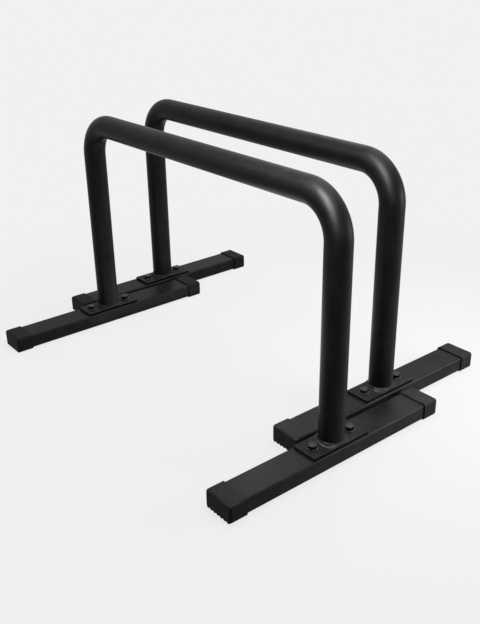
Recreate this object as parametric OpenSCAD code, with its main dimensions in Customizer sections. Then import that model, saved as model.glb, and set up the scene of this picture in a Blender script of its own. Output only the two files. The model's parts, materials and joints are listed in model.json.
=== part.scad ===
// A pair of free-standing parallette bars, set side by side with their feet nested.
// Each bar is one bent tube whose two legs are welded to base plates, and each plate is
// bolted down on a rectangular foot tube that stands on two rubber end caps.
// +X runs along the grips, +Y along the feet and +Z up. The floor is z = 0, and the origin
// lies on it midway between the bars.

/* [Grip tube] */
// Outer diameter of the bent grip tube
grip_d = 40; // [30:1:45]
// Wall of the grip tube
grip_wall = 2; // [1.5:0.25:4]
// Radius of the two bends, on the centreline of the tube
bend_r = 60; // [45:1:120]
// Distance between the two legs of a bar, centre to centre
leg_pitch = 635; // [400:5:900]
// Height of the top of the grip above the floor
grip_top = 415; // [220:1:700]

/* [Foot tube] */
// Width of the rectangular foot tube
foot_w = 50; // [45:1:80]
// Height of the rectangular foot tube
foot_h = 25; // [22:1:50]
// Length of the rectangular foot tube, without its caps
foot_len = 416; // [240:1:700]
// Wall of the rectangular foot tube
foot_wall = 2; // [1.5:0.25:3]
// Outer corner radius of the rectangular foot tube
foot_corner_r = 3; // [2:0.25:5]

/* [Base plate] */
// How far the plate reaches past the grip tube on each side
plate_land = 2.5; // [1:0.25:5]
// Thickness of the base plate
plate_t = 4; // [3:0.5:8]
// Distance between the two bolts of a plate, one before and one behind the leg
bolt_pitch = 76; // [70:1:140]
// Distance from a bolt to the near end of its plate
plate_margin = 17; // [12:1:40]
// Radius of the corners of the plate
plate_corner_r = 2; // [0.5:0.5:6]
// Leg length of the fillet weld round the tube
weld_leg = 5; // [2:0.5:6]

/* [Rubber cap] */
// Length of a cap along the foot
cap_len = 30; // [20:1:60]
// Thickness of the cap's sides and top
cap_wall = 2; // [1.5:0.25:4]
// Thickness of the cap under the foot tube, over its ribs
cap_base = 2; // [1.75:0.25:6]
// Thickness of the cap's end, past the end of the foot tube
cap_end = 3; // [2:0.25:8]
// Rounding of the two long upper edges of the cap
cap_top_r = 4; // [1:0.25:5]
// Rounding of the two long lower edges of the cap
cap_sole_r = 5; // [1:0.25:6]
// Rounding of the two upright corners at the cap's closed end
cap_corner_r = 3.5; // [1:0.25:6]
// Rounding of the upper edge of the cap's closed end
cap_nose_r = 4; // [1:0.25:5]
// Rounding of the lower edge of the cap's closed end
cap_tip_r = 0.8; // [0.4:0.1:3]
// Clearance between the cap's pocket and the foot tube, on each side
cap_fit = 0.1; // [0:0.05:0.3]
// Distance between the grooves that form the ribs under the cap
groove_pitch = 7.2; // [5:0.1:12]
// Width of a groove at the floor
groove_w = 4.4; // [1.5:0.1:4.8]
// Depth of a groove
groove_depth = 1.3; // [0.4:0.1:1.4]

/* [Fasteners] */
// Thread diameter of the bolts
bolt_d = 8; // [6:1:10]
// Length of a bolt under its head
bolt_len = 20; // [16:1:22]
// Width across the flats of a bolt head
bolt_flats = 13; // [12:0.5:16]
// Height of a bolt head
bolt_head_h = 5.3; // [4:0.1:7]
// Turn of the bolt heads, where 30 sets two flats in line with the foot
bolt_turn = 30; // [0:1:59]
// Chamfer at the bolt's tip
bolt_chamfer = 1; // [0.5:0.1:1.5]
// Width of the washer's ring
washer_ring = 3.8; // [2.5:0.1:5]
// Thickness of a washer
washer_t = 1.6; // [1:0.1:2.5]
// Clearance of the washer round the bolt, on each side
washer_fit = 0.2; // [0.1:0.05:0.5]
// Clearance of the plate's hole round the bolt, on each side
plate_hole_fit = 0.5; // [0.2:0.1:1]
// Radial clearance between the bolt and the rivet nut's thread
thread_fit = 0.05; // [0.02:0.01:0.1]
// Wall of the rivet nut round the thread
nut_wall = 1.5; // [1:0.1:2.5]
// Length of a rivet nut
nut_len = 16.5; // [13:0.5:17]
// Depth of the rivet nut's countersunk head
nut_head_depth = 1; // [0.5:0.1:1.2]
// How far the set bulge of the rivet nut stands out under the wall
nut_bulge = 1.6; // [1:0.1:2.5]
// Height of the set bulge
nut_bulge_h = 4; // [2.5:0.5:6]
// Clearance of the wall's hole round the rivet nut, on each side
nut_fit = 0.05; // [0.02:0.01:0.2]

/* [Placing] */
// Distance between the two grips, centre to centre
bar_spacing = 172; // [100:1:600]
// Clear space between neighbouring caps of the two bars
nest_gap = 6; // [1:0.5:40]

/* [Finish] */
// Powder coat of the tubes and plates
coat_colour = "#232325"; // [#232325:Black, #5b5e62:Grey, #7d1a17:Red, #1f3c66:Blue]
// Rubber of the caps
rubber_colour = "#2b2b2c"; // [#2b2b2c:Black, #6a6c6e:Grey]
// Blackened bolts and washers
bolt_colour = "#3a3a3c"; // [#3a3a3c:Blackened, #b4b6b8:Zinc]
// Zinc-plated rivet nuts
zinc_colour = "#b4b6b8"; // [#b4b6b8:Zinc, #c9b36a:Yellow zinc]

/* [Hidden] */
// Facets of a full circle
$fn = 96;
// Extra length of a cutting shape past the face that it opens
overcut = 1;
// Heights above the floor
foot_bottom = cap_base;
foot_top = foot_bottom + foot_h;
plate_top = foot_top + plate_t;
washer_top = plate_top + washer_t;
grip_axis = grip_top - grip_d / 2;
bend_bottom = grip_axis - bend_r;
// Plate
plate_w = grip_d + 2 * plate_land;
plate_len = bolt_pitch + 2 * plate_margin;
// The foot tube's inner corners are never sharper than this
least_inner_r = 0.5;
foot_inner_r = max(foot_corner_r - foot_wall, least_inner_r);
// Cap, with y = 0 at the end of the foot tube and the closed end towards +Y
cap_w = foot_w + 2 * cap_wall;
cap_h = foot_top + cap_wall;
cap_pocket = cap_len - cap_end;
groove_count = floor((cap_w - 2 * cap_sole_r - groove_w) / groove_pitch) + 1;
groove_r = (pow(groove_w / 2, 2) + pow(groove_depth, 2)) / (2 * groove_depth);
// Fasteners
nut_r = bolt_d / 2 + nut_wall;
nut_head_r = nut_r + nut_head_depth;
hex_r = bolt_flats / 2 / cos(30);
// Each bar stands to one side, so that its feet pass beside the other bar's feet
nest_step = cap_w + nest_gap;

BARS = ["front", "rear"];
SIDES = ["left", "right"];
FOOT_PIECES = [
    "foot_tube", "toe_cap", "heel_cap", "base_plate",
    "weld_bead", "rivet_nuts", "washers", "bolts",
];

// Where a bar stands: the front bar towards +X and -Y, the rear bar towards -X and +Y
module at_bar(bar) {
    way = bar == "front" ? 1 : -1;
    translate([way * nest_step / 2, -way * bar_spacing / 2, 0]) children();
}

// Where a leg of a bar stands: left at -X, right at +X
module at_leg(bar, side) {
    way = side == "left" ? -1 : 1;
    at_bar(bar) translate([way * leg_pitch / 2, 0, 0]) children();
}

// The two bolt places of a foot
module at_bolts() {
    for (way = [-1, 1]) translate([0, way * bolt_pitch / 2, 0]) children();
}

// A flat rectangle with round corners, centred on the origin
module round_rect(w, h, r) {
    square([w - 2 * r, h], center = true);
    square([w, h - 2 * r], center = true);
    for (x = [-1, 1], y = [-1, 1]) translate([x * (w / 2 - r), y * (h / 2 - r)]) circle(r);
}

// A rectangle from y = 0 to y = len whose two corners at y = len are round
module nose_outline(w, len, r) {
    translate([-w / 2, 0]) square([w, len - r]);
    translate([-w / 2 + r, 0]) square([w - 2 * r, len]);
    for (x = [-1, 1]) translate([x * (w / 2 - r), len - r]) circle(r);
}

// The cap's section, standing on y = 0, with wider rounding at the sole than at the top
module cap_section() {
    intersection() {
        nose_outline(cap_w, cap_h, cap_top_r);
        translate([0, cap_h]) mirror([0, 1]) nose_outline(cap_w, cap_h, cap_sole_r);
    }
}

// The cap's outline from its side: the closed end is at y = cap_len, the top at -X and the sole at +X
module cap_profile() {
    intersection() {
        translate([cap_h / 2, 0]) nose_outline(2 * cap_h, cap_len, cap_nose_r);
        translate([-cap_h / 2, 0]) nose_outline(2 * cap_h, cap_len, cap_tip_r);
    }
}

// Extrudes an outline drawn in X and Z along +Y
module along_y(len) {
    translate([0, len, 0]) rotate([90, 0, 0]) linear_extrude(len) children();
}

// A solid bent bar: two legs from z = low, two bends and the straight between them
module bent_bar(d, low) {
    for (way = [-1, 1]) {
        translate([way * leg_pitch / 2, 0, low]) cylinder(d = d, h = bend_bottom - low);
        translate([way * (leg_pitch / 2 - bend_r), 0, bend_bottom])
            rotate([90, 0, 0]) rotate([0, 0, way > 0 ? 0 : 90])
                rotate_extrude(angle = 90) translate([bend_r, 0]) circle(d = d);
    }
    translate([-leg_pitch / 2 + bend_r, 0, grip_axis])
        rotate([0, 90, 0]) cylinder(d = d, h = leg_pitch - 2 * bend_r);
}

module grip_tube() {
    color(coat_colour) difference() {
        bent_bar(grip_d, plate_top);
        bent_bar(grip_d - 2 * grip_wall, plate_top - overcut);
    }
}

module base_plate() {
    color(coat_colour) translate([0, 0, foot_top]) difference() {
        linear_extrude(plate_t) round_rect(plate_w, plate_len, plate_corner_r);
        at_bolts() translate([0, 0, -overcut])
            cylinder(d = bolt_d + 2 * plate_hole_fit, h = plate_t + 2 * overcut);
    }
}

// The fillet weld round the leg, cut off where it would pass the sides of the plate
module weld_bead() {
    color(coat_colour) translate([0, 0, plate_top]) intersection() {
        rotate_extrude() translate([grip_d / 2, 0]) intersection() {
            circle(weld_leg);
            square(weld_leg);
        }
        translate([-plate_w / 2, -plate_len / 2, 0]) cube([plate_w, plate_len, weld_leg]);
    }
}

module foot_tube() {
    color(coat_colour) difference() {
        translate([0, -foot_len / 2, foot_bottom + foot_h / 2]) difference() {
            along_y(foot_len) round_rect(foot_w, foot_h, foot_corner_r);
            translate([0, -overcut, 0]) along_y(foot_len + 2 * overcut)
                round_rect(foot_w - 2 * foot_wall, foot_h - 2 * foot_wall, foot_inner_r);
        }
        at_bolts() translate([0, 0, foot_top]) nut_hole();
    }
}

// The countersunk hole for a rivet nut, with its mouth at z = 0
module nut_hole() {
    translate([0, 0, -foot_wall - overcut]) cylinder(r = nut_r + nut_fit, h = foot_wall + 2 * overcut);
    translate([0, 0, -nut_head_depth])
        cylinder(r1 = nut_r + nut_fit, r2 = nut_head_r + nut_fit, h = nut_head_depth);
    cylinder(r = nut_head_r + nut_fit, h = overcut);
}

// A rubber cap on the end of a foot tube that ends at y = 0, closed towards +Y
module foot_cap() {
    pocket_w = foot_w + 2 * cap_fit;
    pocket_h = foot_h + 2 * cap_fit;
    color(rubber_colour) difference() {
        intersection() {
            translate([0, -cap_pocket, 0]) along_y(cap_len) cap_section();
            translate([0, -cap_pocket, 0]) linear_extrude(cap_h) nose_outline(cap_w, cap_len, cap_corner_r);
            translate([-cap_w / 2, -cap_pocket, cap_h / 2]) rotate([0, 90, 0])
                linear_extrude(cap_w) cap_profile();
        }
        translate([0, -cap_pocket - overcut, foot_bottom + foot_h / 2])
            along_y(cap_pocket + overcut) round_rect(pocket_w, pocket_h, foot_corner_r + cap_fit);
        for (i = [0:groove_count - 1])
            translate([(i - (groove_count - 1) / 2) * groove_pitch, -cap_pocket - overcut, 0]) groove();
    }
}

// One round-bottomed groove along the underside of a cap
module groove() {
    translate([0, 0, groove_depth - groove_r]) rotate([-90, 0, 0])
        cylinder(r = groove_r, h = cap_len + 2 * overcut);
}

module toe_cap() {
    translate([0, -foot_len / 2, 0]) rotate([0, 0, 180]) foot_cap();
}

module heel_cap() {
    translate([0, foot_len / 2, 0]) foot_cap();
}

// A set rivet nut: its countersunk head is flush with the top of the foot, and its
// bulge grips the wall from inside
module rivet_nuts() {
    color(zinc_colour) at_bolts() translate([0, 0, foot_top]) rotate_extrude() polygon([
        [bolt_d / 2 + thread_fit, 0],
        [nut_head_r, 0],
        [nut_r, -nut_head_depth],
        [nut_r, -foot_wall],
        [nut_r + nut_bulge, -foot_wall],
        [nut_r + nut_bulge, -foot_wall - nut_bulge_h / 2],
        [nut_r, -foot_wall - nut_bulge_h],
        [nut_r, -nut_len],
        [bolt_d / 2 + thread_fit, -nut_len],
    ]);
}

module washers() {
    hole_r = bolt_d / 2 + washer_fit;
    color(bolt_colour) at_bolts() translate([0, 0, plate_top]) difference() {
        cylinder(r = hole_r + washer_ring, h = washer_t);
        translate([0, 0, -overcut]) cylinder(r = hole_r, h = washer_t + 2 * overcut);
    }
}

// Hexagon bolts, their heads chamfered to the width across the flats
module bolts() {
    shank_r = bolt_d / 2;
    chamfer_h = (hex_r - bolt_flats / 2) * tan(30);
    color(bolt_colour) at_bolts() translate([0, 0, washer_top]) {
        intersection() {
            rotate([0, 0, bolt_turn]) cylinder(r = hex_r, h = bolt_head_h, $fn = 6);
            union() {
                cylinder(r = hex_r + overcut, h = bolt_head_h - chamfer_h);
                translate([0, 0, bolt_head_h - chamfer_h])
                    cylinder(r1 = hex_r, r2 = bolt_flats / 2, h = chamfer_h);
            }
        }
        translate([0, 0, -bolt_len + bolt_chamfer]) cylinder(r = shank_r, h = bolt_len - bolt_chamfer);
        translate([0, 0, -bolt_len]) cylinder(r1 = shank_r - bolt_chamfer, r2 = shank_r, h = bolt_chamfer);
    }
}

module foot_piece(piece) {
    if (piece == "foot_tube") foot_tube();
    if (piece == "toe_cap") toe_cap();
    if (piece == "heel_cap") heel_cap();
    if (piece == "base_plate") base_plate();
    if (piece == "weld_bead") weld_bead();
    if (piece == "rivet_nuts") rivet_nuts();
    if (piece == "washers") washers();
    if (piece == "bolts") bolts();
}

for (bar = BARS) {
    at_bar(bar) grip_tube();
    for (side = SIDES, piece = FOOT_PIECES) {
        at_leg(bar, side) foot_piece(piece);
    }
}
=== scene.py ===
"""Looks of a pair of free-standing parallette bars: bent tubes on rectangular feet with rubber caps."""
import json
import math

import bmesh
import bpy
from mathutils import Matrix, Vector

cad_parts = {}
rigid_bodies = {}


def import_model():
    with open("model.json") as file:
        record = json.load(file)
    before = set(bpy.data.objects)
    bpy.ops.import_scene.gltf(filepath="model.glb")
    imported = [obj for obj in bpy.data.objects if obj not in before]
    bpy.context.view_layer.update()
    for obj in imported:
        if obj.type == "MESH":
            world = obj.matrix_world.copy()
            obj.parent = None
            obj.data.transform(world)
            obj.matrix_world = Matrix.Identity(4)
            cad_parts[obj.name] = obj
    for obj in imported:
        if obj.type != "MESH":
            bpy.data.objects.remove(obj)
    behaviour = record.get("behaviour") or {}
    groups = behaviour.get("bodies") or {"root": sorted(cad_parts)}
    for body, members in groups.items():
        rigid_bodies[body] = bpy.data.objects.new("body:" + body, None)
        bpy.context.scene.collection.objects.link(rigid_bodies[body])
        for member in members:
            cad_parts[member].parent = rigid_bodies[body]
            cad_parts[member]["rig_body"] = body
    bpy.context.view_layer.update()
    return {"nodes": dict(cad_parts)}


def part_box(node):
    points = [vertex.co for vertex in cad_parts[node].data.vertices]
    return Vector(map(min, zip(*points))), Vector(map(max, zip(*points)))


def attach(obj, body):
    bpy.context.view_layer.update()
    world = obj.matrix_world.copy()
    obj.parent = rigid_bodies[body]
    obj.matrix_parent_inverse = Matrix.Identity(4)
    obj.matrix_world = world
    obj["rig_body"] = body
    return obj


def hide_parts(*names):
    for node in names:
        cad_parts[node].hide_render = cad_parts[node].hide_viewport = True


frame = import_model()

MM = 0.001
BARS = ("front", "rear")
SIDES = ("left", "right")

# Rounded edges and smooth shading
DOUBLES = 0.01 * MM
BEVEL_STEPS = 3
BEVEL_FROM = math.radians(40)
SHARP_FROM = math.radians(50)
FLAT_WEIGHT = 80

# Bent grip tube
TUBE_WALL = 2 * MM
BEND_RADIUS = 60 * MM
BEND_STEPS = 40
TUBE_STEPS = 96

# Base plate
PLATE_CORNER = 2 * MM
PLATE_CORNER_STEPS = 6
PLATE_HOLE = 9 * MM
PLATE_HOLE_STEPS = 48
PLATE_EDGE = 0.5 * MM

# Weld bead: its leg, and how far the middle of its open face sinks. The torch leaves ripples, and their
# level is the share of their height that lies below that face. The swell's height is for the whole range
# of a noise, which mostly stays near its middle
WELD_LEG = 5 * MM
WELD_STEPS = 720
WELD_ARC_STEPS = 12
WELD_SINK = 1.8 * MM
RIPPLE_COUNT = 58
RIPPLE_HEIGHT = 0.5 * MM
RIPPLE_LEVEL = 0.6
RIPPLE_BOW = 1.3
SWELL_HEIGHT = 6.8 * MM
SWELL_SCALE = 110.0

# Rubber cap. Its nose is the closed end, where the sides and the top draw in
CAP_TOP_ROUND = 4 * MM
CAP_SOLE_ROUND = 5 * MM
CAP_TOP_STEPS = 8
CAP_SOLE_STEPS = 10
CAP_TOE_CORNER = 3.5 * MM
CAP_HEEL_CORNER = 5 * MM
CAP_MOUTH = 1.4 * MM
CAP_NOSE_ROUND = 4 * MM
CAP_NOSE_DEPTH = 4.5 * MM
CAP_NOSE_STEPS = 12
CAP_LEAST_ROUND = 2.5 * MM
CAP_SOLE_EDGE = 0.8 * MM
CAP_END = 3 * MM
CAP_FIT = 0.1 * MM
CAP_EDGE = 0.3 * MM
GROOVE_PITCH = 7.2 * MM
GROOVE_WIDTH = 6.2 * MM
GROOVE_DEPTH = 1.3 * MM
GROOVE_END_DEPTH = 2.3 * MM
GROOVE_RUN_OUT = 3 * MM
GROOVE_STEPS = 14
FOOT_CORNER = 3 * MM

# Bolts and washers. A share is of half the distance across the flats
BOLT_FLATS = 13 * MM
BOLT_SIDE_STEPS = 16
BOLT_TURN = math.radians(30)
BOLT_CHAMFER = math.radians(30)
BOLT_TOP_SHARE = 0.96
BOLT_SEAT = 0.3 * MM
BOLT_SEAT_SHARE = 0.95
BOLT_DISH = 0.15 * MM
BOLT_DISH_SHARE = 0.5
BOLT_SHANK = 8 * MM
BOLT_TIP = 1 * MM
BOLT_EDGE = 0.2 * MM
WASHER_HOLE = 8.4 * MM
WASHER_EDGE = 0.4 * MM
WASHER_STEPS = 96


def box_middle(node):
    """The centre of a CAD node's box."""
    low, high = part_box(node)
    return (low + high) / 2


def box_size(node):
    """The lengths of a CAD node's box along X, Y and Z."""
    low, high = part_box(node)
    return high - low


# Meshes


def loft(name, rings, close_round=False):
    """A closed mesh through rings of equally many points, with a face at each end or joined into a loop."""
    mesh = bpy.data.meshes.new(name)
    count = len(rings[0])
    points = [point for ring in rings for point in ring]
    spans = len(rings) if close_round else len(rings) - 1
    faces = []
    for i in range(spans):
        this = i * count
        following = (i + 1) % len(rings) * count
        for j in range(count):
            k = (j + 1) % count
            faces.append((this + j, this + k, following + k, following + j))
    if not close_round:
        faces.append(tuple(range(count)))
        faces.append(tuple(range(len(points) - count, len(points))))
    mesh.from_pydata(points, [], faces)
    face_outwards(mesh)
    return mesh


def face_outwards(mesh):
    """Turns every face of a closed mesh outwards."""
    work = bmesh.new()
    work.from_mesh(mesh)
    bmesh.ops.recalc_face_normals(work, faces=work.faces)
    work.to_mesh(mesh)
    work.free()


def arc(centre_x, centre_y, radius, start, end, steps):
    """Points on an arc between two angles in degrees, with both ends."""
    angles = [math.radians(start + (end - start) * i / steps) for i in range(steps + 1)]
    return [(centre_x + radius * math.cos(angle), centre_y + radius * math.sin(angle)) for angle in angles]


def revolve(name, outline, steps):
    """A closed ring-shaped solid from a closed outline of radii and heights."""
    rings = []
    for i in range(steps):
        angle = 2 * math.pi * i / steps
        rings.append([(radius * math.cos(angle), radius * math.sin(angle), z) for radius, z in outline])
    return loft(name, rings, close_round=True)


def plate_mesh(name, width, length, thickness, hole_pitch):
    """A flat plate with round corners and two holes in line, its underside at z = 0."""
    x, y = width / 2 - PLATE_CORNER, length / 2 - PLATE_CORNER
    rim = []
    for corner_x, corner_y, angle in ((x, y, 0), (-x, y, 90), (-x, -y, 180), (x, -y, 270)):
        rim += arc(corner_x, corner_y, PLATE_CORNER, angle, angle + 90, PLATE_CORNER_STEPS)
    loops = [rim]
    for way in (-1, 1):
        loops.append(arc(0, way * hole_pitch / 2, PLATE_HOLE / 2, 360, 0, PLATE_HOLE_STEPS)[:-1])
    work = bmesh.new()
    for z in (0, thickness):
        edges = []
        for loop in loops:
            verts = [work.verts.new((point_x, point_y, z)) for point_x, point_y in loop]
            edges += [work.edges.new((verts[i - 1], verts[i])) for i in range(len(verts))]
        bmesh.ops.triangle_fill(work, use_beauty=True, use_dissolve=True, edges=edges)
    work.verts.ensure_lookup_table()
    # The underside's points come first, and the top's follow in the same order
    top = len(work.verts) // 2
    start = 0
    for loop in loops:
        for i in range(len(loop)):
            this, following = start + i, start + (i + 1) % len(loop)
            wall = (this, following, top + following, top + this)
            work.faces.new([work.verts[number] for number in wall])
        start += len(loop)
    bmesh.ops.recalc_face_normals(work, faces=work.faces)
    mesh = bpy.data.meshes.new(name)
    work.to_mesh(mesh)
    work.free()
    return mesh


def groove_middles(half_flat):
    """Where the grooves of a sole run, evenly about its middle."""
    count = math.floor((2 * half_flat - GROOVE_WIDTH) / GROOVE_PITCH) + 1
    return [(i - (count - 1) / 2) * GROOVE_PITCH for i in range(count)]


def groove_share(x, middles):
    """How deep the sole's soft wavy grooves are at x, from 0 on a rib to 1 in the middle of a groove."""
    for middle in middles:
        off = abs(x - middle)
        if off < GROOVE_WIDTH / 2:
            return (1 + math.cos(2 * math.pi * off / GROOVE_WIDTH)) / 2
    return 0.0


def cap_section(half_w, flat, low, high, top_r, sole_r, places, middles=(), depth=0.0):
    """An outline in X and Z: the sole from left to right, the right side, the top and the left side."""

    def sole_corner(way, start):
        """A quarter of an ellipse between the flat of the sole and a side."""
        side_r = half_w - flat
        corner = []
        for i in range(CAP_SOLE_STEPS + 1):
            angle = math.radians(start + 90 * i / CAP_SOLE_STEPS)
            corner.append((way * flat + side_r * math.cos(angle), low + sole_r + sole_r * math.sin(angle)))
        return corner

    outline = [(x, max(low, depth * groove_share(x, middles))) for x in places]
    outline += sole_corner(1, 270)[1:]
    outline += arc(half_w - top_r, high - top_r, top_r, 0, 90, CAP_TOP_STEPS)
    outline += arc(-half_w + top_r, high - top_r, top_r, 90, 180, CAP_TOP_STEPS)
    outline += sole_corner(-1, 180)[:-1]
    return outline


def cap_mesh(name, size, foot_size, foot_low, corner_round):
    """A rubber cap round a foot tube that ends at y = 0, closed towards +Y, its ribs standing on z = 0."""
    half_w, height = size.x / 2, size.z
    flat = half_w - CAP_SOLE_ROUND
    lip = CAP_END - size.y
    middles = groove_middles(flat)
    places = {-flat, flat}
    for middle in middles:
        places |= {middle + GROOVE_WIDTH * (i / GROOVE_STEPS - 0.5) for i in range(GROOVE_STEPS + 1)}
    places = sorted(places)

    def ring(y):
        """The skin at y. The nose draws in the sides and the top, and the sole only at its very end."""
        into_nose = max(y - CAP_END + CAP_NOSE_DEPTH, 0) / CAP_NOSE_DEPTH
        into_edge = max(y - CAP_END + CAP_SOLE_EDGE, 0) / CAP_SOLE_EDGE
        run_out = max(y - CAP_END + GROOVE_RUN_OUT, 0) / GROOVE_RUN_OUT
        drawn = 1 - math.sqrt(max(1 - into_nose ** 2, 0))
        side = corner_round * drawn
        low = CAP_SOLE_EDGE * (1 - math.sqrt(max(1 - into_edge ** 2, 0)))
        top_r = CAP_TOP_ROUND + (CAP_LEAST_ROUND - CAP_TOP_ROUND) * drawn
        high = height - CAP_NOSE_ROUND * drawn
        depth = GROOVE_DEPTH + (GROOVE_END_DEPTH - GROOVE_DEPTH) * run_out
        sole_r = CAP_SOLE_ROUND - low
        section = cap_section(half_w - side, flat, low, high, top_r, sole_r, places, middles, depth)
        return [(x, y, z) for x, z in section]

    pocket_r = FOOT_CORNER + CAP_FIT
    pocket_w = foot_size.x / 2 + CAP_FIT
    low, high = foot_low - CAP_FIT, foot_low + foot_size.z + CAP_FIT
    inner = [x / flat * (pocket_w - pocket_r) for x in places]
    pocket = cap_section(pocket_w, pocket_w - pocket_r, low, high, pocket_r, pocket_r, inner)
    # The mouth slopes inwards to the tube, which leaves a dark seam
    rings = [[(x, y, z) for x, z in pocket] for y in (0.0, lip + CAP_MOUTH)]
    rings += [ring(lip), ring((lip + CAP_END - CAP_NOSE_DEPTH) / 2)]
    for i in range(CAP_NOSE_STEPS + 1):
        before_end = CAP_NOSE_DEPTH * (1 - math.sin(math.pi / 2 * i / CAP_NOSE_STEPS))
        rings.append(ring(CAP_END - before_end))
    return loft(name, rings)


def bolt_mesh(name, head_height, length):
    """A hexagon bolt whose head stands on z = 0, with a chamfered top and a plain shank."""
    count = 6 * BOLT_SIDE_STEPS
    flat_r = BOLT_FLATS / 2
    top_r = flat_r * BOLT_TOP_SHARE
    seat_r = flat_r * BOLT_SEAT_SHARE
    dish_r = flat_r * BOLT_DISH_SHARE
    shank_r = BOLT_SHANK / 2

    def hexagon(i):
        """The radius of the head's sides at a step."""
        angle = (i % BOLT_SIDE_STEPS / BOLT_SIDE_STEPS - 0.5) * math.pi / 3
        return flat_r / math.cos(angle)

    def circle(radius):
        """The same radius at every step."""
        return lambda i: radius

    def level(z):
        """The same height at every radius."""
        return lambda radius: z

    def chamfer(radius):
        """The height of the head's chamfer, which falls away outwards."""
        return head_height - (radius - top_r) * math.tan(BOLT_CHAMFER)

    def ring(radius_at, height_at):
        """A ring of points round the bolt's axis."""
        points = []
        for i in range(count):
            angle = BOLT_TURN + 2 * math.pi * i / count
            radius = radius_at(i)
            points.append((radius * math.cos(angle), radius * math.sin(angle), height_at(radius)))
        return points

    rings = [
        ring(circle(shank_r - BOLT_TIP), level(-length)),
        ring(circle(shank_r), level(BOLT_TIP - length)),
        ring(circle(shank_r), level(0)),
        ring(circle(seat_r), level(0)),
        ring(circle(seat_r), level(BOLT_SEAT)),
        ring(hexagon, level(BOLT_SEAT)),
        ring(hexagon, chamfer),
        ring(circle(top_r), level(head_height)),
        ring(circle(dish_r), level(head_height - BOLT_DISH)),
    ]
    return loft(name, rings)


def washer_mesh(name, outer_d, thickness):
    """A flat washer on z = 0 with slightly broken edges."""
    inner, outer, edge = WASHER_HOLE / 2, outer_d / 2, WASHER_EDGE
    outline = [
        (inner, edge), (inner + edge, 0), (outer - edge, 0), (outer, edge),
        (outer, thickness - edge), (outer - edge, thickness),
        (inner + edge, thickness), (inner, thickness - edge),
    ]
    return revolve(name, outline, WASHER_STEPS)


def line_mesh(name, points):
    """A chain of straight edges through points."""
    mesh = bpy.data.meshes.new(name)
    mesh.from_pydata(points, [(i, i + 1) for i in range(len(points) - 1)], [])
    return mesh


# Geometry Nodes


def new_tree(name, **inputs):
    """A Geometry Nodes tree, and its group input. Each keyword is an input's name and kind."""
    tree = bpy.data.node_groups.new(name, "GeometryNodeTree")
    face = tree.interface
    face.new_socket("Geometry", in_out="OUTPUT", socket_type="NodeSocketGeometry")
    face.new_socket("Geometry", in_out="INPUT", socket_type="NodeSocketGeometry")
    for label, kind in inputs.items():
        face.new_socket(label, in_out="INPUT", socket_type="NodeSocket" + kind)
    return tree, tree.nodes.new("NodeGroupInput")


def add(tree, kind, inputs=(), **settings):
    """Adds a node. Its inputs, by name or number, take another node's output or a plain value."""
    node = tree.nodes.new(kind)
    for label, value in settings.items():
        setattr(node, label, value)
    for label, value in dict(inputs).items():
        socket = node.inputs[label]
        if isinstance(value, bpy.types.NodeSocket):
            tree.links.new(value, socket)
        elif isinstance(value, bpy.types.Node):
            tree.links.new(next(out for out in value.outputs if out.enabled), socket)
        else:
            socket.default_value = value
    return node


def math_node(tree, operation, *values):
    """A Math node on one or more outputs or numbers."""
    return add(tree, "ShaderNodeMath", enumerate(values), operation=operation)


def end_tree(tree, given, geometry):
    """Ends a tree in Realize Instances and Set Material."""
    real = add(tree, "GeometryNodeRealizeInstances", {"Geometry": geometry})
    done = add(tree, "GeometryNodeSetMaterial", {"Geometry": real, "Material": given.outputs["Material"]})
    add(tree, "NodeGroupOutput", {"Geometry": done})
    return tree


def bent_tube_tree():
    """Rounds the corners of a line and sweeps a circle along it."""
    tree, given = new_tree(
        "bent_tube", tube_radius="Float", bend_radius="Float", bend_steps="Int", tube_steps="Int",
        Material="Material",
    )
    line = add(tree, "GeometryNodeMeshToCurve", {"Mesh": given.outputs["Geometry"]})
    bends = add(tree, "GeometryNodeFilletCurve", {
        "Curve": line, "Count": given.outputs["bend_steps"], "Radius": given.outputs["bend_radius"],
    }, mode="POLY")
    ring = add(tree, "GeometryNodeCurvePrimitiveCircle", {
        "Resolution": given.outputs["tube_steps"], "Radius": given.outputs["tube_radius"],
    })
    skin = add(tree, "GeometryNodeCurveToMesh", {"Curve": bends, "Profile Curve": ring.outputs["Curve"]})
    return end_tree(tree, given, skin)


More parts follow.
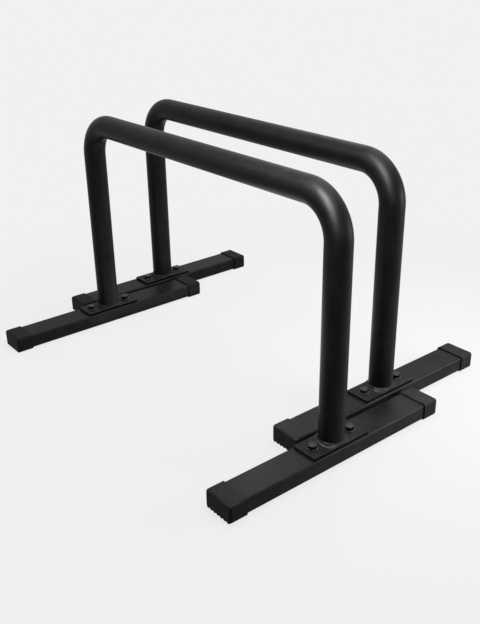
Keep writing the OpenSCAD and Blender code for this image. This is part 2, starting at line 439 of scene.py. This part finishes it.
def weld_bead_tree():
    """Sweeps a quarter disc round a tube and ripples it like a weld, cut off at the plate's sides."""
    tree, given = new_tree(
        "weld_bead", tube_radius="Float", weld_leg="Float", ripple_count="Float", ripple_height="Float",
        swell_height="Float", sink="Float", half_plate="Float", seed="Float", Material="Material",
    )
    path = add(tree, "GeometryNodeCurvePrimitiveCircle", {
        "Resolution": WELD_STEPS, "Radius": given.outputs["tube_radius"],
    })
    section = add(tree, "GeometryNodeCurveArc", {
        "Resolution": WELD_ARC_STEPS, "Radius": given.outputs["weld_leg"], "Start Angle": -math.pi / 2,
        "Sweep Angle": math.pi / 2, "Connect Center": True,
    })
    ring = add(tree, "GeometryNodeCurveToMesh", {
        "Curve": path.outputs["Curve"], "Profile Curve": section.outputs["Curve"],
    })
    place = add(tree, "ShaderNodeSeparateXYZ", {0: add(tree, "GeometryNodeInputPosition")})
    x, y, z = place.outputs
    turn = math_node(tree, "ARCTAN2", y, x)
    squares = [math_node(tree, "MULTIPLY", value, value) for value in (x, y)]
    radius = math_node(tree, "SQRT", math_node(tree, "ADD", *squares))
    outwards = math_node(tree, "SUBTRACT", radius, given.outputs["tube_radius"])
    # The share is 1 in the middle of the bead's open face, and 0 on the plate and on the tube
    rise = math_node(tree, "DIVIDE", z, given.outputs["weld_leg"])
    reach = math_node(tree, "DIVIDE", outwards, given.outputs["weld_leg"])
    share = math_node(tree, "MULTIPLY", math_node(tree, "MULTIPLY", rise, reach), 2.0)
    share = math_node(tree, "MINIMUM", share, 1.0)
    # Each ripple bows into an arc. The angle is halved, since a sine without its sign has two humps a turn
    bow = math_node(tree, "MULTIPLY", share, RIPPLE_BOW)
    along = math_node(tree, "MULTIPLY", turn, given.outputs["ripple_count"])
    phase = math_node(tree, "MULTIPLY", math_node(tree, "ADD", along, bow), 0.5)
    wave = math_node(tree, "ABSOLUTE", math_node(tree, "SINE", phase))
    ripple = math_node(tree, "SUBTRACT", wave, RIPPLE_LEVEL)
    ripple = math_node(tree, "MULTIPLY", ripple, given.outputs["ripple_height"])
    wander = add(tree, "ShaderNodeTexNoise", {
        "Vector": add(tree, "GeometryNodeInputPosition"), "W": given.outputs["seed"], "Scale": SWELL_SCALE,
        "Detail": 1.0,
    }, noise_dimensions="4D")
    swell = math_node(tree, "SUBTRACT", wander.outputs[0], 0.5)
    swell = math_node(tree, "MULTIPLY", swell, given.outputs["swell_height"])
    # Only the open face of the bead moves, and it moves away from the corner that it fills
    bulge = math_node(tree, "ADD", ripple, math_node(tree, "SUBTRACT", swell, given.outputs["sink"]))
    bulge = math_node(tree, "MULTIPLY", bulge, share)
    normal = add(tree, "GeometryNodeInputNormal")
    away = add(tree, "ShaderNodeVectorMath", {0: normal, 3: bulge}, operation="SCALE")
    rippled = add(tree, "GeometryNodeSetPosition", {"Geometry": ring, "Offset": away})
    now = add(tree, "ShaderNodeSeparateXYZ", {0: add(tree, "GeometryNodeInputPosition")})
    side = given.outputs["half_plate"]
    kept_x = math_node(tree, "MINIMUM", now.outputs[0], side)
    kept_x = math_node(tree, "MAXIMUM", kept_x, math_node(tree, "MULTIPLY", side, -1.0))
    kept = add(tree, "ShaderNodeCombineXYZ", {0: kept_x, 1: now.outputs[1], 2: now.outputs[2]})
    cut = add(tree, "GeometryNodeSetPosition", {"Geometry": rippled, "Position": kept})
    return end_tree(tree, given, cut)


def pair_tree():
    """Sets one fastener at each of two places along Y."""
    tree, given = new_tree("fastener_pair", pitch="Float", Material="Material")
    pitch = given.outputs["pitch"]
    start = add(tree, "ShaderNodeCombineXYZ", {1: math_node(tree, "MULTIPLY", pitch, -0.5)})
    step = add(tree, "ShaderNodeCombineXYZ", {1: pitch})
    places = add(tree, "GeometryNodeMeshLine", {"Count": 2, "Start Location": start, "Offset": step})
    copies = add(tree, "GeometryNodeInstanceOnPoints", {
        "Points": places, "Instance": given.outputs["Geometry"],
    })
    return end_tree(tree, given, copies)


def set_inputs(modifier, values):
    """Sets a Geometry Nodes modifier's named inputs by their sockets' identifiers."""
    for item in modifier.node_group.interface.items_tree:
        if item.item_type == "SOCKET" and item.in_out == "INPUT" and item.name in values:
            modifier[item.identifier] = values[item.name]


def apply_modifiers(made):
    """Gives an object the plain mesh that its modifiers make of its own."""
    bpy.context.view_layer.update()
    seen = made.evaluated_get(bpy.context.evaluated_depsgraph_get())
    plain = bpy.data.meshes.new_from_object(seen)
    made.modifiers.clear()
    made.data = plain
    return plain


def finished(name, mesh, material, tree=None, values=(), wall=0.0, edge=0.0, place=(0, 0, 0), turn=0.0):
    """A plain object made from a mesh by a tree, a wall and rounded edges, and put in its place."""
    made = bpy.data.objects.new(name, mesh)
    bpy.context.scene.collection.objects.link(made)
    if tree:
        nodes = made.modifiers.new("nodes", "NODES")
        nodes.node_group = tree
        set_inputs(nodes, dict(values, Material=material))
    if wall:
        shell = made.modifiers.new("wall", "SOLIDIFY")
        shell.thickness = wall
        shell.offset = -1
        shell.use_even_offset = True
    if edge:
        bevel = made.modifiers.new("edge", "BEVEL")
        bevel.width = edge
        bevel.segments = BEVEL_STEPS
        bevel.limit_method = "ANGLE"
        bevel.angle_limit = BEVEL_FROM
        bevel.miter_outer = "MITER_ARC"
        weld = made.modifiers.new("doubles", "WELD")
        weld.merge_threshold = DOUBLES
    plain = apply_modifiers(made)
    plain.name = name
    plain.transform(Matrix.Translation(Vector(place)) @ Matrix.Rotation(turn, 4, "Z"))
    plain.shade_smooth()
    plain.set_sharp_from_angle(angle=SHARP_FROM)
    plain.materials.clear()
    plain.materials.append(material)
    weigh_normals(made)
    return made


def weigh_normals(made):
    """Keeps flat faces flat beside their rounded edges."""
    weighted = made.modifiers.new("weighted", "WEIGHTED_NORMAL")
    weighted.keep_sharp = True
    weighted.weight = FLAT_WEIGHT
    apply_modifiers(made)


def keep(made, node):
    """Puts a finished piece in place of a CAD node, on that node's body."""
    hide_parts(node)
    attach(made, frame["nodes"][node]["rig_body"])


# Materials

# The middle part of a noise's range, where most of its values lie
NOISE_LOW = 0.3
NOISE_HIGH = 0.7

# How far a powder coat drifts from its tone, and its roughness below and above
COAT_TONE_DRIFT = 0.35
COAT_SMOOTHER = 0.03
COAT_ROUGHER = 0.1
# The painted shade on a coat's upright faces
PAINTED_SIDE_SHADE = (0.002, 0.002, 0.002, 1)

# The darkest and the lightest colour of each finish
RUBBER_BLACKS = ((0.009, 0.009, 0.0092), (0.0135, 0.0135, 0.0137))
BOLT_BLACKS = ((0.0025, 0.0025, 0.0026), (0.005, 0.005, 0.0052))
# Painted light on the tops of the bolt heads
BOLT_PAINTED_TOP_LIGHT = ((0.008, 0.008, 0.0082), (0.035, 0.035, 0.036))
WASHER_BLACKS = ((0.002, 0.002, 0.002), (0.006, 0.006, 0.0062))
# A painted glint on the washers' broken edges
WASHER_PAINTED_GLINT = ((0.08, 0.08, 0.082), (0.4, 0.4, 0.41))
ZINC_GREYS = ((0.47, 0.48, 0.5), (0.63, 0.64, 0.65))


def new_material(name):
    """A material with a Principled shader, and its node tree, shader and object coordinates."""
    material = bpy.data.materials.new(name)
    material.use_nodes = True
    tree = material.node_tree
    shader = tree.nodes["Principled BSDF"]
    spot = tree.nodes.new("ShaderNodeTexCoord").outputs["Object"]
    return material, tree, shader, spot


def noise(tree, spot, scale, detail=2.0, roughness=0.5):
    """A noise texture on object coordinates."""
    return add(tree, "ShaderNodeTexNoise", {
        "Vector": spot, "Scale": scale, "Detail": detail, "Roughness": roughness,
    }).outputs[0]


def between(tree, value, low, high):
    """Maps the middle of a noise's range onto low to high."""
    return add(tree, "ShaderNodeMapRange", {
        "Value": value, "From Min": NOISE_LOW, "From Max": NOISE_HIGH, "To Min": low, "To Max": high,
    }).outputs["Result"]


def shades(tree, value, dark, light):
    """Goes from a dark colour to a light one over the middle of a noise's range."""
    ramp = add(tree, "ShaderNodeValToRGB", {"Fac": value})
    ends = ramp.color_ramp.elements
    ends[0].position = NOISE_LOW
    ends[1].position = NOISE_HIGH
    ends[0].color = (*dark, 1)
    ends[1].color = (*light, 1)
    return ramp.outputs["Color"]


def mix_colours(tree, share, first, second):
    """Goes from the first colour to the second as the share goes from 0 to 1."""
    # The Mix node has inputs of the same names for each kind of value, so these are taken by number
    return add(tree, "ShaderNodeMix", {"Factor": share, 6: first, 7: second}, data_type="RGBA").outputs[2]


def mix_values(tree, share, first, second):
    """Goes from the first number to the second as the share goes from 0 to 1."""
    return add(tree, "ShaderNodeMix", {"Factor": share, 2: first, 3: second}).outputs[0]


def bump(tree, height, distance, strength, under=None):
    """A bump of the given height in metres, on top of another one."""
    inputs = {"Height": height, "Distance": distance, "Strength": strength}
    if under:
        inputs["Normal"] = under
    return add(tree, "ShaderNodeBump", inputs).outputs["Normal"]


def faces_up(tree, low, high):
    """0 where a surface stands upright and 1 where it faces up, between two heights of its normal."""
    normal = tree.nodes.new("ShaderNodeNewGeometry").outputs["Normal"]
    height = add(tree, "ShaderNodeSeparateXYZ", {0: normal}).outputs[2]
    return add(tree, "ShaderNodeMapRange", {
        "Value": height, "From Min": low, "From Max": high,
    }).outputs["Result"]


def powder_coat(name, painted_shade_sides=False, rough=0.35, level=0.05, tone=0.011):
    """Matte black powder coat: a fine leathery texture over a soft orange peel.

    Where asked, faces that stand upright take a painted shade: their colour is nearly black, and they are
    quite dull.
    """
    material, tree, shader, spot = new_material(name)
    cloud = noise(tree, spot, scale=24, detail=4.0, roughness=0.6)
    grain = noise(tree, spot, scale=1500, detail=3.0, roughness=0.6)
    peel = noise(tree, spot, scale=240)
    darker, lighter = (1 - COAT_TONE_DRIFT) * tone, (1 + COAT_TONE_DRIFT) * tone
    black = shades(tree, cloud, [darker] * 3, [lighter] * 3)
    patchy = math_node(tree, "MULTIPLY", math_node(tree, "ADD", cloud, grain), 0.5)
    dull = between(tree, patchy, rough - COAT_SMOOTHER, rough + COAT_ROUGHER)
    # Upright faces get painted shade: their colour goes nearly black, and they turn dull
    if painted_shade_sides:
        flat = faces_up(tree, 0.5, 0.9)
        black = mix_colours(tree, flat, PAINTED_SIDE_SHADE, black)
        dull = mix_values(tree, flat, 1.0, dull)
    tree.links.new(black, shader.inputs["Base Color"])
    tree.links.new(dull, shader.inputs["Roughness"])
    shader.inputs["Specular IOR Level"].default_value = level
    relief = bump(tree, peel, distance=0.05 * MM, strength=0.5)
    relief = bump(tree, grain, distance=0.04 * MM, strength=0.6, under=relief)
    tree.links.new(relief, shader.inputs["Normal"])
    return material


def cap_rubber():
    """Matte black moulded rubber with a finely spark-eroded skin and a faint bloom."""
    material, tree, shader, spot = new_material("cap_rubber_finish")
    bloom = noise(tree, spot, scale=60, detail=4.0, roughness=0.6)
    swell = noise(tree, spot, scale=120)
    grain = noise(tree, spot, scale=1100)
    black = shades(tree, bloom, *RUBBER_BLACKS)
    tree.links.new(black, shader.inputs["Base Color"])
    tree.links.new(between(tree, grain, 0.58, 0.7), shader.inputs["Roughness"])
    shader.inputs["Specular IOR Level"].default_value = 0.048
    relief = bump(tree, swell, distance=0.05 * MM, strength=0.4)
    relief = bump(tree, grain, distance=0.05 * MM, strength=0.5, under=relief)
    tree.links.new(relief, shader.inputs["Normal"])
    return material


def blackened_steel():
    """Black plated steel of the bolts, dark but for the tops of their heads, which are coloured lighter as
    painted light.
    """
    material, tree, shader, spot = new_material("blackened_steel_finish")
    tarnish = noise(tree, spot, scale=350, detail=3.0, roughness=0.6)
    scratch = noise(tree, spot, scale=2600)
    black = shades(tree, tarnish, *BOLT_BLACKS)
    painted_top_light = shades(tree, tarnish, *BOLT_PAINTED_TOP_LIGHT)
    # The heads' tops take painted light: their colour is lighter where the surface faces up
    seen = mix_colours(tree, faces_up(tree, 0.9, 0.98), black, painted_top_light)
    tree.links.new(seen, shader.inputs["Base Color"])
    tree.links.new(between(tree, scratch, 0.2, 0.32), shader.inputs["Roughness"])
    shader.inputs["Specular IOR Level"].default_value = 0.1
    relief = bump(tree, scratch, distance=0.02 * MM, strength=0.4)
    tree.links.new(relief, shader.inputs["Normal"])
    return material


def washer_black():
    """Dull black steel of the washers, with a painted glint: the broken edges that face partly up are
    coloured light like plain steel.
    """
    material, tree, shader, spot = new_material("washer_finish")
    tarnish = noise(tree, spot, scale=500, detail=3.0, roughness=0.6)
    black = shades(tree, tarnish, *WASHER_BLACKS)
    painted_glint = shades(tree, tarnish, *WASHER_PAINTED_GLINT)
    # The edges between the flat faces and the upright side take the painted glint
    rim = math_node(tree, "SUBTRACT", faces_up(tree, 0.25, 0.45), faces_up(tree, 0.85, 0.95))
    tree.links.new(mix_colours(tree, rim, black, painted_glint), shader.inputs["Base Color"])
    shader.inputs["Roughness"].default_value = 0.9
    shader.inputs["Specular IOR Level"].default_value = 0.02
    return material


def zinc_steel():
    """Bright zinc plate of the rivet nuts, with its crystal mottling."""
    material, tree, shader, spot = new_material("zinc_steel_finish")
    crystal = add(tree, "ShaderNodeTexVoronoi", {"Vector": spot, "Scale": 700.0}).outputs["Distance"]
    cloud = noise(tree, spot, scale=400, detail=3.0)
    tree.links.new(shades(tree, cloud, *ZINC_GREYS), shader.inputs["Base Color"])
    tree.links.new(between(tree, crystal, 0.25, 0.42), shader.inputs["Roughness"])
    shader.inputs["Metallic"].default_value = 1.0
    return material


COAT = powder_coat("powder_coat_finish")
# The plate's upright sides take painted shade
PLATE_COAT = powder_coat("plate_coat_finish", painted_shade_sides=True, level=0.025, tone=0.019)
# The weld's coat is a lighter copy of the powder coat, a painted sheen for the glint along the bead, and it
# is also rougher
WELD_COAT = powder_coat("weld_coat_finish", rough=0.48, level=0.052, tone=0.016)
RUBBER = cap_rubber()
STEEL = blackened_steel()
WASHER = washer_black()
ZINC = zinc_steel()

# Pieces

TUBE_TREE = bent_tube_tree()
WELD_TREE = weld_bead_tree()
PAIR_TREE = pair_tree()


def grip_tube(bar):
    """The bent tube of a bar: up one leg, along the grip and down the other leg."""
    node = f"{bar}_grip_tube"
    low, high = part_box(node)
    tube_r = (high.y - low.y) / 2
    left, right, top = low.x + tube_r, high.x - tube_r, high.z - tube_r
    middle = (low.y + high.y) / 2
    line = line_mesh(node + "_line", [
        (left, middle, low.z), (left, middle, top), (right, middle, top), (right, middle, low.z),
    ])
    values = {
        "tube_radius": tube_r, "tube_steps": TUBE_STEPS,
        "bend_radius": BEND_RADIUS, "bend_steps": BEND_STEPS,
    }
    made = finished(f"{bar}_bent_tube", line, COAT, TUBE_TREE, values, wall=TUBE_WALL)
    keep(made, node)


def bolt_pitch(bar, side):
    """Distance between the two bolts of a plate, from the box round its two washers."""
    size = box_size(f"{bar}_{side}_washers")
    return size.y - size.x


def base_plate(bar, side):
    """The plate under a leg."""
    node = f"{bar}_{side}_base_plate"
    size, middle = box_size(node), box_middle(node)
    mesh = plate_mesh(node + "_blank", size.x, size.y, size.z, bolt_pitch(bar, side))
    place = (middle.x, middle.y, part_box(node)[0].z)
    made = finished(f"{bar}_{side}_plate", mesh, PLATE_COAT, edge=PLATE_EDGE, place=place)
    keep(made, node)


def weld_bead(bar, side, seed):
    """The weld round the foot of a leg."""
    node = f"{bar}_{side}_weld_bead"
    low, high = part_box(node)
    middle = box_middle(node)
    tube = box_size(f"{bar}_grip_tube")
    values = {
        "tube_radius": tube.y / 2, "weld_leg": WELD_LEG, "ripple_count": float(RIPPLE_COUNT),
        "ripple_height": RIPPLE_HEIGHT, "swell_height": SWELL_HEIGHT, "sink": WELD_SINK,
        "half_plate": (high.x - low.x) / 2, "seed": seed,
    }
    empty = bpy.data.meshes.new(node + "_start")
    place = (middle.x, middle.y, low.z)
    made = finished(f"{bar}_{side}_weld", empty, WELD_COAT, WELD_TREE, values, place=place)
    keep(made, node)


def foot_cap(bar, side, end):
    """A rubber cap, closed towards -Y at the toe and towards +Y at the heel."""
    node = f"{bar}_{side}_{end}_cap"
    foot_low, foot_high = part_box(f"{bar}_{side}_foot_tube")
    at_toe = end == "toe"
    corner_round = CAP_TOE_CORNER if at_toe else CAP_HEEL_CORNER
    mesh = cap_mesh(node + "_blank", box_size(node), foot_high - foot_low, foot_low.z, corner_round)
    place = (box_middle(node).x, foot_low.y if at_toe else foot_high.y, 0)
    turn = math.pi if at_toe else 0.0
    made = finished(f"{bar}_{side}_{end}_rubber", mesh, RUBBER, edge=CAP_EDGE, place=place, turn=turn)
    keep(made, node)


def bolts_and_washers(bar, side):
    """The two bolts of a plate and the washers under their heads."""
    values = {"pitch": bolt_pitch(bar, side)}
    washers, bolts = f"{bar}_{side}_washers", f"{bar}_{side}_bolts"
    washer_low, washer_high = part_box(washers)
    bolt_low, bolt_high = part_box(bolts)
    middle = box_middle(washers)
    ring = washer_mesh(washers + "_one", washer_high.x - washer_low.x, washer_high.z - washer_low.z)
    place = (middle.x, middle.y, washer_low.z)
    made = finished(f"{bar}_{side}_washer_pair", ring, WASHER, PAIR_TREE, values, place=place)
    keep(made, washers)
    bolt = bolt_mesh(bolts + "_one", bolt_high.z - washer_high.z, washer_high.z - bolt_low.z)
    place = (middle.x, middle.y, washer_high.z)
    made = finished(f"{bar}_{side}_bolt_pair", bolt, STEEL, PAIR_TREE, values, edge=BOLT_EDGE, place=place)
    keep(made, bolts)


def cad_finishes(bar, side):
    """The foot tube and the rivet nuts keep their CAD shapes and take finer materials."""
    frame["nodes"][f"{bar}_{side}_foot_tube"].data.materials[0] = COAT
    frame["nodes"][f"{bar}_{side}_rivet_nuts"].data.materials[0] = ZINC


for number, bar in enumerate(BARS):
    grip_tube(bar)
    for side in SIDES:
        base_plate(bar, side)
        weld_bead(bar, side, seed=float(number * len(SIDES) + SIDES.index(side)))
        foot_cap(bar, side, "toe")
        foot_cap(bar, side, "heel")
        bolts_and_washers(bar, side)
        cad_finishes(bar, side)

# Stage

BACKGROUND = (0.879, 0.879, 0.879)
PAPER = (0.76, 0.76, 0.76)
BOUNCE = (0.12, 0.12, 0.12)
EVEN_LIGHT = 0.1
FLOOR_RADIUS = 60.0
FLOOR_STEPS = 64
FLOOR_DROP = 0.2 * MM
SHADOW_SHARE = 0.15
SHADOW_NEAR = 0.45
SHADOW_FAR = 0.95

# The lamps that light the bends aim a little past them, which keeps the grips out of their narrow beams
BEND_AIM = (0.41, -0.1, 0.36)
BEND_BEAM = 50

# The photograph's viewpoint, fitted to the edges of the tubes and feet
CAMERA_PLACE = (1.04355, -0.8084, 0.70113)
CAMERA_AZIMUTH = math.radians(51.417)
CAMERA_ELEVATION = math.radians(24.964)
CAMERA_ROLL = math.radians(-0.959)
CAMERA_LENS = 46.626
CAMERA_SENSOR = 36


def shown_rays(tree):
    """1 for camera, glossy and transmission rays, which see the pale background."""
    path = tree.nodes.new("ShaderNodeLightPath")
    seen = math_node(tree, "MAXIMUM", path.outputs["Is Camera Ray"], path.outputs["Is Glossy Ray"])
    return math_node(tree, "MAXIMUM", seen, path.outputs["Is Transmission Ray"])


def floor():
    """A pale floor that keeps the object's soft shadow."""
    work = bmesh.new()
    bmesh.ops.create_circle(work, cap_ends=True, segments=FLOOR_STEPS, radius=FLOOR_RADIUS)
    bmesh.ops.translate(work, verts=work.verts, vec=(0, 0, -FLOOR_DROP))
    mesh = bpy.data.meshes.new("floor")
    work.to_mesh(mesh)
    work.free()
    made = bpy.data.objects.new("floor", mesh)
    bpy.context.scene.collection.objects.link(made)
    mesh.materials.append(floor_paper())


def floor_paper():
    """Paper that glows like the background, and near the object also takes a share of light and shadow."""
    material = bpy.data.materials.new("floor_paper")
    material.use_nodes = True
    tree = material.node_tree
    tree.nodes.clear()
    spot = tree.nodes.new("ShaderNodeTexCoord").outputs["Object"]
    away = add(tree, "ShaderNodeVectorMath", {0: spot}, operation="LENGTH").outputs["Value"]
    share = add(tree, "ShaderNodeMapRange", {
        "Value": away, "From Min": SHADOW_NEAR, "From Max": SHADOW_FAR,
        "To Min": SHADOW_SHARE, "To Max": 0.0,
    }, interpolation_type="SMOOTHSTEP")
    glow = add(tree, "ShaderNodeEmission", {"Color": (*BACKGROUND, 1), "Strength": 1.0})
    lit = add(tree, "ShaderNodeBsdfDiffuse", {"Color": (*PAPER, 1)})
    seen = add(tree, "ShaderNodeMixShader", {0: share, 1: glow, 2: lit})
    grey = add(tree, "ShaderNodeBsdfDiffuse", {"Color": (*BOUNCE, 1)})
    both = add(tree, "ShaderNodeMixShader", {0: shown_rays(tree), 1: grey, 2: seen})
    add(tree, "ShaderNodeOutputMaterial", {"Surface": both})
    return material


def surroundings():
    """A pale background, and a dimmer even light from all round."""
    world = bpy.data.worlds.new("surroundings")
    bpy.context.scene.world = world
    world.use_nodes = True
    tree = world.node_tree
    tree.nodes.clear()
    even = add(tree, "ShaderNodeBackground", {"Color": (1, 1, 1, 1), "Strength": EVEN_LIGHT})
    pale = add(tree, "ShaderNodeBackground", {"Color": (*BACKGROUND, 1), "Strength": 1.0})
    both = add(tree, "ShaderNodeMixShader", {0: shown_rays(tree), 1: even, 2: pale})
    add(tree, "ShaderNodeOutputWorld", {"Surface": both})


def softbox(name, place, aim, size, watts, only_gloss=False, beam=180):
    """A rectangular area lamp that faces a point. With only_gloss it shows in reflections alone."""
    light = bpy.data.lights.new(name, "AREA")
    light.shape = "RECTANGLE"
    light.size, light.size_y = size
    light.energy = watts
    light.spread = math.radians(beam)
    made = bpy.data.objects.new(name, light)
    made.location = place
    made.rotation_mode = "QUATERNION"
    made.rotation_quaternion = (Vector(aim) - Vector(place)).to_track_quat("-Z", "Y")
    made.visible_camera = False
    made.visible_diffuse = not only_gloss
    bpy.context.scene.collection.objects.link(made)


def camera():
    """A camera at the photograph's viewpoint."""
    across, height = math.cos(CAMERA_ELEVATION), math.sin(CAMERA_ELEVATION)
    back = Vector((math.sin(CAMERA_AZIMUTH) * across, -math.cos(CAMERA_AZIMUTH) * across, height))
    level = Vector((math.cos(CAMERA_AZIMUTH), math.sin(CAMERA_AZIMUTH), 0))
    upright = back.cross(level)
    right = math.cos(CAMERA_ROLL) * level + math.sin(CAMERA_ROLL) * upright
    up = math.cos(CAMERA_ROLL) * upright - math.sin(CAMERA_ROLL) * level
    data = bpy.data.cameras.new("camera")
    data.lens = CAMERA_LENS
    data.sensor_width = CAMERA_SENSOR
    made = bpy.data.objects.new("camera", data)
    bpy.context.scene.collection.objects.link(made)
    axes = Matrix((right, up, back)).transposed().to_4x4()
    made.matrix_world = Matrix.Translation(CAMERA_PLACE) @ axes
    bpy.context.scene.camera = made


floor()
surroundings()

# Each lamp has its place, its aim, its size in metres and its watts
softbox("overhead", (0.2, 0, 1.6), (0.1, 0, 0.2), (1.0, 1.0), 19)
softbox("rear", (0.1, 0.9, 1.5), (0.2, 0, 0.1), (1.0, 1.0), 12)
softbox("left", (-0.9, 0.2, 1.4), (0, 0, 0.2), (1.0, 1.0), 1.5)
softbox("right_rear", (0.9, 0.7, 0.3), (0.35, 0.2, 0.02), (0.4, 0.4), 2.7, beam=80)
softbox("front_left", (-0.55, -0.95, 0.65), (0.1, 0, 0.3), (0.6, 0.6), 2)
softbox("rear_gloss", (-0.5, 0.8, 0.9), (0.35, -0.1, 0), (0.5, 0.5), 1.2, only_gloss=True)
softbox("inner_glow", (0.06, -0.01, 0.3), (0.35, -0.25, 0), (0.12, 0.12), 0.085, only_gloss=True, beam=100)
softbox("left_gloss", (-0.5, -0.7, 1.2), (0.1, -0.1, 0.39), (0.5, 0.5), 6.5, only_gloss=True)
softbox("high_gloss", (0.45, -0.39, 1.1), BEND_AIM, (0.5, 0.5), 5.2, only_gloss=True, beam=BEND_BEAM)
softbox("middle_gloss", (0.52, -0.38, 0.78), BEND_AIM, (0.4, 0.4), 4.4, only_gloss=True, beam=BEND_BEAM)
softbox("low_gloss", (0.57, -0.42, 0.6), BEND_AIM, (0.28, 0.28), 0.75, only_gloss=True, beam=BEND_BEAM)
softbox("front_floor_glow", (0, -0.3, 0.01), (0, -0.3, 1), (0.4, 0.3), 0.5, only_gloss=True)
softbox("middle_floor_glow", (-0.1, 0, 0.01), (-0.1, 0, 1), (0.4, 0.28), 0.4, only_gloss=True)
camera()

bpy.context.scene.view_settings.view_transform = "Standard"
